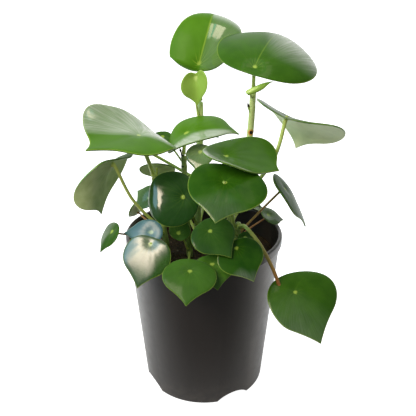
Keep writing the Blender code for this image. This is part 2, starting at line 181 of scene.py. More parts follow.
def add_floor():
    """White for the camera. In reflections it is dim in front of the pot."""
    bpy.ops.mesh.primitive_plane_add(size=FLOOR_SIZE, location=(0, 0, FLOOR_LEVEL))
    floor = bpy.context.object
    floor.name = "floor"
    white, tree, shader = finish("white floor", Roughness=0.8, Specular_IOR_Level=0.1,
                                 Emission_Color=WHITE)
    depth = split(node(tree, "TexCoord").outputs["Object"])["Y"]
    sweep = fade(depth, FLOOR_DIM_UNTIL, FLOOR_WHITE_FROM)
    plug(shader["Base Color"], mix(sweep, (96, 94, 92), (250, 250, 250)))
    seen = node(tree, "LightPath").outputs["Is Camera Ray"]
    plug(shader["Emission Strength"], calc("MAXIMUM", seen, times(sweep, 0.7)))
    floor.data.materials.append(white)


def add_panel(name, place, target, size, power, colour):
    """A soft rectangular light that looks at the target."""
    bpy.ops.object.light_add(type="AREA", location=place)
    panel = bpy.context.object
    panel.name = name
    panel.data.shape = "RECTANGLE"
    panel.data.size, panel.data.size_y = size
    panel.data.energy = power
    panel.data.color = screen(*colour)[:3]
    toward = Vector(target) - Vector(place)
    panel.rotation_euler = toward.to_track_quat("-Z", "Y").to_euler()


add_camera()
add_surroundings()
add_floor()
for name, place, size, power, colour in WINDOWS:
    add_panel(name, place, WINDOW_TARGET, size, power, colour)
for across, width, power, colour in WINDOW_BARS:
    add_panel("window bar", (across, BARS_DEPTH, BARS_HEIGHT), (across, BARS_DEPTH, 0),
              (width, BARS_LENGTH), power, colour)


# Pot
# A thin-walled nursery pot moulded in one piece from charcoal polypropylene, with a raised rim
# band and a foot that is cut by four drainage arches. Its section is drawn point by point and
# spun round, and the arches are cut.

MM = 0.001
POT_HEIGHT = 148.0
RIM_RADIUS = 70.0
RIM_HEIGHT = 8.5
RIM_STEP = 2.0
FOOT_RADIUS = 55.5
WALL = 1.8
FOOT_RING = 3.0
FLOOR_HEIGHT = 8.6
FLOOR = 2.0
PAD_RADIUS = 18.0
EDGE = 0.8
# How the corners of the section are rounded, at most up to a share of the sides beside them.
CORNER = 1.6
CORNER_STEPS = 5
CORNER_LIMIT = 0.45
NOTCHES = 4
NOTCH_HEIGHT = 8.0
NOTCH_ARC = 33.0
NOTCH_POWER = 0.8
NOTCH_STEPS = 64
FIRST_NOTCH = 29.0
POT_STEPS = 144
POT_CREASE = 35
MERGE = 0.01
WALL_TOP = POT_HEIGHT - RIM_HEIGHT
FLOOR_TOP = FLOOR_HEIGHT + FLOOR


def wall_radius(height):
    """Outer radius of the tapered wall."""
    return FOOT_RADIUS + (RIM_RADIUS - RIM_STEP - FOOT_RADIUS) * height / WALL_TOP


def rounded(outline):
    """The outline with a short curve in place of each corner."""
    outline = [Vector(point) for point in outline]
    soft = [outline[0]]
    for before, corner, after in zip(outline, outline[1:], outline[2:]):
        back = before - corner
        ahead = after - corner
        reach = min(CORNER, CORNER_LIMIT * back.length, CORNER_LIMIT * ahead.length)
        start = corner + back.normalized() * reach
        end = corner + ahead.normalized() * reach
        for step in range(CORNER_STEPS + 1):
            u = step / CORNER_STEPS
            soft.append(start * (1 - u) ** 2 + corner * 2 * u * (1 - u) + end * u ** 2)
    soft.append(outline[-1])
    return soft


def pick(*pieces):
    """Selects these pieces alone, and makes the last one active."""
    bpy.ops.object.select_all(action="DESELECT")
    for piece in pieces:
        piece.select_set(True)
    bpy.context.view_layer.objects.active = pieces[-1]


def mend():
    """Joins the points of the active piece that lie on each other, and turns its faces out."""
    bpy.ops.object.mode_set(mode="EDIT")
    bpy.ops.mesh.select_all(action="SELECT")
    bpy.ops.mesh.remove_doubles(threshold=MERGE * MM)
    bpy.ops.mesh.normals_make_consistent(inside=False)
    bpy.ops.object.mode_set(mode="OBJECT")


def turned(name, outline, steps):
    """A half section drawn from (radius, height) points, and spun round the Z axis."""
    bpy.ops.mesh.primitive_plane_add(size=MM, location=(0, 0, 0))
    body = bpy.context.object
    body.name = name
    bpy.ops.object.mode_set(mode="EDIT")
    bpy.ops.mesh.select_all(action="SELECT")
    bpy.ops.mesh.merge(type="CENTER")
    bpy.ops.transform.translate(value=(outline[0][0] * MM, 0, outline[0][1] * MM))
    for before, after in zip(outline, outline[1:]):
        step = ((after[0] - before[0]) * MM, 0, (after[1] - before[1]) * MM)
        bpy.ops.mesh.extrude_vertices_move(TRANSFORM_OT_translate={"value": step})
    bpy.ops.mesh.select_all(action="SELECT")
    bpy.ops.mesh.spin(steps=steps, angle=math.tau, center=(0, 0, 0), axis=(0, 0, 1))
    bpy.ops.object.mode_set(mode="OBJECT")
    mend()
    return body


def use_modifier(piece, kind, **settings):
    """Adds a modifier and applies it."""
    pick(piece)
    modifier = piece.modifiers.new(kind.lower(), kind)
    for setting, value in settings.items():
        setattr(modifier, setting, value)
    bpy.ops.object.modifier_apply(modifier=modifier.name)


def soften(piece, angle):
    """Smooth shading, with the edges sharper than the angle kept."""
    pick(piece)
    bpy.ops.object.shade_smooth_by_angle(angle=math.radians(angle))


def coat(piece, made_of):
    """Gives the whole piece one material."""
    piece.data.materials.clear()
    piece.data.materials.append(made_of)


def node_group(name, inputs, outputs):
    """A new group of nodes, with its inputs by name and kind, and its outputs, all numbers."""
    tree = bpy.data.node_groups.new(name, "ShaderNodeTree")
    for title, kind in inputs.items():
        tree.interface.new_socket(title, in_out="INPUT", socket_type="NodeSocket" + kind)
    for title in outputs:
        tree.interface.new_socket(title, in_out="OUTPUT", socket_type="NodeSocketFloat")
    given = tree.nodes.new("NodeGroupInput").outputs
    result = tree.nodes.new("NodeGroupOutput").inputs
    return tree, given, result


def grain_group():
    """Broad and fine unevenness, for the shade and the height of a surface."""
    inputs = {"Place": "Vector", "Scale": "Float"}
    tree, given, result = node_group("grain", inputs, ("Shade", "Height"))
    broad = node(tree, "TexNoise", Vector=given["Place"], Scale=given["Scale"], Detail=3.0)
    closer = times(given["Scale"], 11.0)
    fine = node(tree, "TexNoise", Vector=given["Place"], Scale=closer, Detail=2.0)
    plug(result["Shade"], fade(broad.outputs["Fac"], 0.3, 0.7))
    plug(result["Height"], ramp(broad.outputs["Fac"], 0.5, fine.outputs["Fac"]))
    return tree


def grain(place, scale):
    """The shade and the height of the grain, which gets finer as the scale goes up."""
    made = node(place.id_data, "Group", {"node_tree": GRAIN}, Place=place, Scale=scale)
    return made.outputs["Shade"], made.outputs["Height"]


def object_place(tree, stretch=(1, 1, 1)):
    """Object coordinates, stretched along the axes where a pattern runs that way."""
    place = node(tree, "TexCoord").outputs["Object"]
    return node(tree, "Mapping", Vector=place, Scale=stretch).outputs[0]


def set_surface(shader, colour, shade, roughness, height, relief):
    """The colour, the roughness (its least, and what the shade adds) and the relief."""
    least, added = roughness
    plug(shader["Base Color"], colour)
    plug(shader["Roughness"], ramp(shade, added, least))
    raised = node(height.id_data, "Bump", Height=height, Distance=relief * MM)
    plug(shader["Normal"], raised.outputs[0])


def pot_plastic():
    """Satin plastic with faint upright flow lines, and dusty near the foot."""
    made, tree, shader = finish("charcoal plastic", IOR=1.5, Specular_IOR_Level=0.66)
    flow, _ = grain(object_place(tree, (1, 1, 0.12)), 38.0)
    scuff, pores = grain(object_place(tree), 130.0)
    colour = mix(flow, (46, 42, 41), (52, 48, 47))
    low = fade(split(object_place(tree))["Z"], 0.03, 0.0)
    dusty = mix(times(low, times(scuff, 0.35)), colour, (92, 86, 80))
    set_surface(shader, dusty, scuff, (0.32, 0.06), pores, 0.05)
    return made


def pot_outline():
    """Half of the pot's section, from the middle of the underside out, up and back inside."""
    bore = RIM_RADIUS - RIM_STEP - WALL
    return rounded([
        (0, 0),
        (PAD_RADIUS, 0),
        (PAD_RADIUS + FLOOR, FLOOR_HEIGHT),
        (FOOT_RADIUS - FOOT_RING, FLOOR_HEIGHT),
        (FOOT_RADIUS - FOOT_RING, 0),
        (FOOT_RADIUS, 0),
        (wall_radius(WALL_TOP), WALL_TOP),
        (RIM_RADIUS, WALL_TOP + EDGE),
        (RIM_RADIUS, POT_HEIGHT),
        (bore, POT_HEIGHT),
        (bore, WALL_TOP),
        (wall_radius(FLOOR_TOP) - WALL, FLOOR_TOP),
        (PAD_RADIUS, FLOOR_TOP),
        (PAD_RADIUS - FOOT_RING, FLOOR),
        (0, FLOOR),
    ])


def cut_arch(pot, middle):
    """Cuts one arch out through the foot, with the shape that the solids have."""
    half_width = FOOT_RADIUS * math.sin(math.radians(NOTCH_ARC / 2))
    out = Vector((math.sin(middle), -math.cos(middle), 0))
    along = Vector((math.cos(middle), math.sin(middle), 0))
    bpy.ops.mesh.primitive_cylinder_add(vertices=NOTCH_STEPS, radius=1, depth=5 * FOOT_RING)
    cutter = bpy.context.object
    for vert in cutter.data.vertices:
        arch = (1 - min(1.0, vert.co.x ** 2)) ** NOTCH_POWER
        height = NOTCH_HEIGHT * arch if vert.co.y > 0 else -NOTCH_HEIGHT * arch
        reach = FOOT_RADIUS - FOOT_RING / 2 + vert.co.z
        vert.co = (out * reach + along * half_width * vert.co.x + Vector((0, 0, height))) * MM
    mend()
    use_modifier(pot, "BOOLEAN", operation="DIFFERENCE", solver="EXACT", object=cutter)
    bpy.data.objects.remove(cutter)


GRAIN = grain_group()
pot = turned("nursery_pot", pot_outline(), POT_STEPS)
for number in range(NOTCHES):
    cut_arch(pot, math.radians(FIRST_NOTCH) + math.tau * number / NOTCHES)
soften(pot, POT_CREASE)
coat(pot, pot_plastic())
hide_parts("pot")
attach(pot, "root")


# Soil
# Dark potting mix that fills the pot to a finger's width below the rim. Its surface is uneven,
# and loose crumbs of bark and a few pale grains lie on it.

SOIL_TOP = 126.0
SOIL_GAP = 0.3
SOIL_RINGS = 46
SOIL_STEPS = 150
SOIL_CREASE = 60
SOIL_SHOULDER = 1.5
SOIL_SKIN = 0.5
SOIL_BORE = wall_radius(SOIL_TOP) - WALL
# Each kind of bump: how often it comes, how high it is and where its pattern starts.
SOIL_BUMPS = ((0.045, 1.3, 3.1), (0.21, 0.9, 7.7), (0.62, 0.5, 1.3))
# How the crumbs are strewn, and how large, wide, flat and pale they are.
CRUMBS = 620
CRUMB_SEED = 7
CRUMB_FORMS = 3
CRUMB_ROUGHNESS = (0.6, 1.25)
CRUMB_MARGIN = 3.5
CRUMB_SIZES = (0.7, 1.5)
CRUMB_WIDTHS = (0.45, 1.0)
CRUMB_FLATNESS = 0.5
CRUMB_SPIN = 7
CRUMB_LIFT = 0.25
CRUMB_TONES = (0.0, 0.12)
LARGE_CRUMB_EVERY = 9
LARGE_CRUMB_SIZES = (1.6, 2.6)
PALE_CRUMB_EVERY = 23
PALE_CRUMB_TONES = (0.5, 1.0)


def soil_height(x, y):
    """How far the uneven surface stands above its level."""
    return sum(height * noise.noise(Vector((x * often, y * often, start)))
               for often, height, start in SOIL_BUMPS)


def attribute(tree, name, output="Vector"):
    """What each point of the mesh knows under the name."""
    return node(tree, "Attribute", {"attribute_name": name}).outputs[output]


def teach(mesh, name, values):
    """Keeps one number, or three, at each point of the mesh, for its material to read."""
    values = np.asarray(values)
    kind, field = ("FLOAT", "value") if values.ndim == 1 else ("FLOAT_VECTOR", "vector")
    mesh.attributes.new(name, kind, "POINT").data.foreach_set(field, values.ravel())


def soil_finish():
    """Damp and nearly black, with brown fibres, and paler where a crumb's tone says so."""
    made, tree, shader = finish("potting mix", Specular_IOR_Level=0.25)
    shade, height = grain(object_place(tree), 420.0)
    dark = mix(shade, (34, 28, 20), (70, 55, 39))
    fibre = node(tree, "TexVoronoi", Vector=object_place(tree, (1, 0.35, 1)), Scale=260.0)
    bits = fade(fibre.outputs["Distance"], 0.16, 0.05)
    fibrous = mix(times(bits, 0.4), dark, (98, 74, 50))
    toned = mix(attribute(tree, "crumb_tone", "Fac"), fibrous, (150, 134, 110))
    set_surface(shader, toned, shade, (0.75, 0.2), height, 0.5)
    return made


def soil_outline():
    """Half of the soil's section, clear of the pot, with rings close together on top."""
    edge = SOIL_BORE - SOIL_GAP
    low = FLOOR + SOIL_GAP
    outline = [
        (0, low),
        (PAD_RADIUS - FOOT_RING - 2 * SOIL_GAP, low),
        (PAD_RADIUS - 2 * SOIL_GAP, FLOOR_TOP + SOIL_GAP),
        (wall_radius(FLOOR_TOP) - WALL - 4 * SOIL_GAP, FLOOR_TOP + SOIL_GAP),
        (edge, SOIL_TOP - SOIL_SHOULDER),
    ]
    outline += [(edge * (1 - ring / SOIL_RINGS), SOIL_TOP) for ring in range(SOIL_RINGS)]
    outline.append((0, SOIL_TOP))
    return outline


def crumb_forms(rng):
    """A few rough pebbles, as their vertices, and the faces that all of them have."""
    bpy.ops.mesh.primitive_ico_sphere_add(subdivisions=1, radius=1)
    pebble = bpy.context.object
    points = np.array([vert.co for vert in pebble.data.vertices])
    faces = np.array([face.vertices[:] for face in pebble.data.polygons])
    bpy.data.objects.remove(pebble)
    forms = [points * rng.uniform(*CRUMB_ROUGHNESS, (len(points), 1)) for _ in range(CRUMB_FORMS)]
    return forms, faces


def add_crumbs(made_of):
    """Loose bits strewn over the surface, in one mesh."""
    rng = np.random.default_rng(CRUMB_SEED)
    forms, faces = crumb_forms(rng)
    points = []
    corners = []
    tones = []
    for number in range(CRUMBS):
        away = (SOIL_BORE - CRUMB_MARGIN) * math.sqrt(rng.uniform())
        turn = rng.uniform(0, math.tau)
        x = away * math.cos(turn)
        y = away * math.sin(turn)
        size = rng.uniform(*(CRUMB_SIZES if number % LARGE_CRUMB_EVERY else LARGE_CRUMB_SIZES))
        sides = np.array((1.0, rng.uniform(*CRUMB_WIDTHS), CRUMB_FLATNESS))
        cos = math.cos(turn * CRUMB_SPIN)
        sin = math.sin(turn * CRUMB_SPIN)
        form = forms[number % CRUMB_FORMS] * size * sides
        form = form @ np.array(((cos, sin, 0), (-sin, cos, 0), (0, 0, 1)))
        middle = (x, y, SOIL_TOP + soil_height(x, y) + CRUMB_LIFT * size)
        tone = rng.uniform(*(CRUMB_TONES if number % PALE_CRUMB_EVERY else PALE_CRUMB_TONES))
        corners += [tuple(face + number * len(form)) for face in faces]
        points += [tuple(point) for point in (form + middle) * MM]
        tones += [tone] * len(form)
    mesh = bpy.data.meshes.new("soil_crumbs")
    mesh.from_pydata(points, [], corners)
    teach(mesh, "crumb_tone", tones)
    mesh.materials.append(made_of)
    crumbs = bpy.data.objects.new("soil_crumbs", mesh)
    bpy.context.collection.objects.link(crumbs)
    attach(crumbs, "root")


mix_finish = soil_finish()
soil = turned("potting_soil", soil_outline(), SOIL_STEPS)
for vert in soil.data.vertices:
    x, y, z = vert.co / MM
    if z > SOIL_TOP - SOIL_SKIN and math.hypot(x, y) < SOIL_BORE - SOIL_SHOULDER:
        vert.co.z += soil_height(x, y) * MM
soften(soil, SOIL_CREASE)
coat(soil, mix_finish)
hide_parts("soil")
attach(soil, "root")
add_crumbs(mix_finish)


# Stems
# Five upright stems, round and fleshy, with a faint ring where each leaf has grown, two leaf
# scars and two dried stubs. They are tubes along a smooth curve that stand in the soil, and they
# thin out toward the top.

STEM_ROOT = 22.0
STEM_RISE = 4.0
STEM_STEPS = 90
STEM_ROUNDNESS = 6
STEM_PALE_FROM = 0.4
RING_SWELL = 0.32
RING_WIDTH = 1.3
STEM_END = 2.2
END_RADIUS = 0.05
STUB_STEPS = 16
STUB_ROUNDNESS = 3
STUB_LIGHT = 0.6
# Where red and light begin along a stalk, and over how much of it they come in.
FROM_START = -1.0
RED_FADE = 0.4
LIGHT_FADE = 0.3
LEAST_LIGHT = 0.2
SCAR_RING = (206, 150, 62)
SCAR_BLACK = (22, 16, 14)
# Each scar: its place, its radius and how much of a brown ring it has.
SCARS = (((40.7, 11.2, 236.3), 1.6, 1.0), ((-17.8, -7.6, 212.0), 0.9, 0.0))
# Each stub: its path, its radii along it, its material and that one's colour at the foot.
STUBS = {
    "bud_stub": dict(path=[(39.6, 12.0, 254), (38.0, 11.6, 258.5), (37.2, 11.4, 262)],
                     radii=(1.1, 1.0, 1.1, 0.9, 0.4), skin="green stub", fresh=(150, 176, 92)),
    "dried_stub": dict(path=[(-18.2, -6.4, 221), (-19.2, -7.0, 224.5), (-19.9, -7.3, 228.2)],
                       radii=(0.9, 0.8, 0.35, 0.4, 1.0, 0.9, 0.3), skin="black stub",
                       fresh=SCAR_BLACK),
}
# Each stem: its path above its foot, its radius at the foot and at the top, the heights of its
# rings, and how pale it is. The low paleness of stem_right is painted shade.
STEMS = {
    "stem_middle": dict(path=[(-6, 10, 150), (-4.5, 22, 195), (-3, 33, 232), (-3, 36, 258)],
                        foot=(-6, 8), radius=(3.4, 2.3), rings=(168, 200, 214), light=1.0),
    "stem_tall": dict(path=[(22, 6, 150), (34.5, 13, 198), (40, 14, 235), (41.5, 12, 273)],
                      foot=(18, 4), radius=(3.4, 2.6), rings=(176, 214, 236, 257), light=0.85),
    "stem_front": dict(path=[(-15, -6, 160), (-17, -5, 222)], foot=(-13, -6), radius=(3.2, 2.3),
                       rings=(180, 211, 218), light=0.15),
    "stem_left": dict(path=[(-36, -8, 157), (-43, -5, 203)], foot=(-33, -6), radius=(3.2, 2.2),
                      rings=(157, 190), light=0.4),
    "stem_right": dict(path=[(28, -18, 146), (30, -20, 166)], foot=(25, -15), radius=(3.4, 2.6),
                       rings=(145, 155), light=0.25),
}


def smooth_points(points, count):
    """Points spread along a smooth curve through the given ones."""
    points = [Vector(point) for point in points]
    points = [2 * points[0] - points[1], *points, 2 * points[-1] - points[-2]]
    spans = len(points) - 3
    curve = []
    for step in range(count):
        place = spans * step / (count - 1)
        span = min(int(place), spans - 1)
        u = place - span
        a, b, c, d = points[span:span + 4]
        curve.append(0.5 * (2 * b + (c - a) * u + (2 * a - 5 * b + 4 * c - d) * u ** 2
                            + (3 * b - a - 3 * c + d) * u ** 3))
    return curve


def stem_curve(stem, count):
    """Points along a stem, from its root in the soil up."""
    x, y = stem["foot"]
    foot = [(x, y, SOIL_TOP - STEM_ROOT), (x, y, SOIL_TOP + STEM_RISE)]
    return smooth_points([*foot, *stem["path"]], count)


def stem_radius(stem, share):
    """The radius without its rings, at a share of the way up."""
    foot, top = stem["radius"]
    return foot + (top - foot) * share


def stem_radii(stem, curve):
    """Thinner toward the top, swollen at each ring, and rounded off at the upper end."""
    radii = []
    for index, point in enumerate(curve):
        radius = stem_radius(stem, index / (len(curve) - 1))
        for ring in stem["rings"]:
            radius += RING_SWELL * math.exp(-((point.z - ring) / RING_WIDTH) ** 2)
        below_end = (curve[-1] - point).length / STEM_END
        radii.append(radius * math.sqrt(1 - max(0.0, 1 - below_end) ** 2) + END_RADIUS)
    return radii


def tube(name, curve, radii, roundness, made_of, light, light_from=FROM_START, red=0.0,
         red_from=FROM_START):
    """A round stalk along a curve. Its points know how far along it they are, how red and how pale.

    Red and light come in gradually, each from its own share of the way along the stalk.
    """
    line = bpy.data.curves.new(name, "CURVE")
    line.dimensions = "3D"
    line.bevel_depth = MM
    line.bevel_resolution = roundness
    line.use_fill_caps = True
    spline = line.splines.new("POLY")
    spline.points.add(len(curve) - 1)
    for place, point, radius in zip(spline.points, curve, radii):
        place.co = (*(point * MM), 1)
        place.radius = radius
    stalk = bpy.data.objects.new(name, line)
    bpy.context.collection.objects.link(stalk)
    pick(stalk)
    bpy.ops.object.convert(target="MESH")
    stalk = bpy.context.object
    mend()
    points = np.array([vert.co for vert in stalk.data.vertices]) / MM
    middles = np.array([tuple(point) for point in curve])
    nearest = np.linalg.norm(points[:, None] - middles[None], axis=2).argmin(axis=1)
    along = nearest / (len(curve) - 1)
    reds = red * np.clip((along - red_from) / RED_FADE, 0, 1)
    lights = light * np.clip((along - light_from) / LIGHT_FADE, LEAST_LIGHT, 1)
    teach(stalk.data, "stalk", np.column_stack((along, reds, lights)))
    coat(stalk, made_of)
    stalk.data.shade_smooth()
    return stalk


def distance_to(tree, point):
    """How far the surface is from a point, in millimetres."""
    made = node(tree, "VectorMath", {"operation": "DISTANCE"})
    feed(made, object_place(tree), Vector(point) * MM)
    return calc("DIVIDE", made.outputs["Value"], MM)


def stalk_skin(name, dark, pale, reddish, scars=()):
    """Fleshy green skin with faint lengthwise streaks, red-brown where the stalk is marked so."""
    made, tree, shader = finish(name, IOR=1.42)
    _, reddened, paleness_and_painted_shade = split(attribute(tree, "stalk"))
    shade, height = grain(object_place(tree, (1, 1, 0.25)), 240.0)
    # How pale the stalk is; on the inner petioles and on stem_right it is lowered as painted shade.
    base = mix(paleness_and_painted_shade, dark, pale)
    streaked = mix(times(shade, 0.35), base, pale)
    fleck = node(tree, "TexNoise", Vector=object_place(tree), Scale=700.0, Detail=1.0)
    flecks = times(fade(fleck.outputs["Fac"], 0.6, 0.72), 0.3)
    red = calc("MAXIMUM", times(reddened, 0.95), flecks)
    skin = mix(red, streaked, reddish)
    for place, radius, ringed in scars:
        away = distance_to(tree, place)
        ring = times(fade(away, 2.1 * radius, 1.3 * radius), ringed)
        skin = mix(ring, skin, SCAR_RING)
        skin = mix(fade(away, 1.15 * radius, 0.85 * radius), skin, SCAR_BLACK)
    set_surface(shader, skin, shade, (0.32, 0.12), height, 0.06)
    return made


def stub_skin(name, fresh):
    """Its own colour at the foot, and dried to black at the tip."""
    made, tree, shader = finish(name, IOR=1.42)
    along, _, _ = split(attribute(tree, "stalk"))
    shade, height = grain(object_place(tree), 300.0)
    dry = mix(shade, SCAR_BLACK, (40, 30, 20))
    drying = mix(fade(along, 0.45, 0.6), fresh, dry)
    set_surface(shader, drying, shade, (0.5, 0.1), height, 0.05)
    return made


def add_stub(name, stub):
    """A short dried stalk that stands on a stem."""
    curve = smooth_points(stub["path"], STUB_STEPS)
    shares = np.arange(STUB_STEPS) / (STUB_STEPS - 1)
    places = np.arange(len(stub["radii"])) / (len(stub["radii"]) - 1)
    skin = stub_skin(stub["skin"], stub["fresh"])
    radii = np.interp(shares, places, stub["radii"])
    piece = tube(name, curve, radii, STUB_ROUNDNESS, skin, STUB_LIGHT)
    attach(piece, "root")


stem_skin = stalk_skin("stem skin", (70, 108, 38), (206, 224, 146), (120, 70, 40), SCARS)
for name, stub in STUBS.items():
    add_stub(name, stub)
for name, stem in STEMS.items():
    curve = stem_curve(stem, STEM_STEPS)
    piece = tube(name + "_grown", curve, stem_radii(stem, curve), STEM_ROUNDNESS, stem_skin,
                 stem["light"], light_from=STEM_PALE_FROM)
    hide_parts(name)
    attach(piece, "root")


# Leaves
# Each leaf is a fleshy drop-shaped blade on a stalk that joins its face near the base. A flat
# disc is modelled once, and each copy is bent to its own leaf, thickened and given its stalk.

# The disc's net, and the thickness and the edges of a blade.
SPOKES = 96
RINGS = 18
LEAF_CREASE = 50
LARGE_LEAF = 50.0
LARGE_BLADE = 1.3
SMALL_BLADE = 1.0
BLADE_EDGE = 0.3
BLADE_EDGE_STEPS = 2
BLADE_EDGE_ANGLE = 60
# The form of a blade: its veins, outline, curl, ridge, swell, ripples and raised lip.
VEINS = 9
VEIN_BEND = 0.5
DIMPLE_RADIUS = 6.0
FLANK_POWER = 1.25
DRIP_TURN = 0.14
BASE_REACH = 0.95
BASE_NOTCH_POWER = 6
BASE_NOTCH_GROWTH = 30
CURL_START = 0.55
STRAIGHT = 1e-6
RIDGE = 3.0
SWELL = 0.0014
RIPPLE = 0.009
RIPPLES = 4
RIPPLE_SHIFT = 2.4
LIP = 0.45
LIP_START = 0.88
# The form of a petiole, and where it leaves its stem.
PETIOLE_STEPS = 30
PETIOLE_ROUNDNESS = 4
PETIOLE_FOOT = 4
PETIOLE_FOOT_SWELL = 0.4
PETIOLE_FLARE = 1.2
PETIOLE_FLARE_SWELL = 0.5
PETIOLE_END = 3
ROOT_GAP = 0.4
ROOT_SHARE = 0.2
STEM_SEARCH_STEPS = 120
# How most blades bend, and wax, or gloss and painted sheen, that is all over a blade.
BEND = (15, 15, 10, 10)
WHOLE_BLADE = (0, -2, 0.1)
COMMON_LEAF = dict(
    share=0.27, notch=0.05, flank=40.0, drip=0.1, lean=0, sweep=0, curl=0, fold=(0, 0), dimple=1.6,
    crowd=0.4, petiole=1.4, via=(), light=0.75, red=0.0, red_from=FROM_START, yellow=0.15, rib=0.0,
    wax=0.06, wax_side=WHOLE_BLADE, sheen=0.05, sheen_side=WHOLE_BLADE)


def row(at, face, turn, size, bend, stem, height, **more):
    """One leaf, which is like the common leaf in all that the row leaves out."""
    return dict(COMMON_LEAF, at=at, face=face, turn=turn, size=size, bend=bend,
                stem=STEMS["stem_" + stem], height=height, **more)
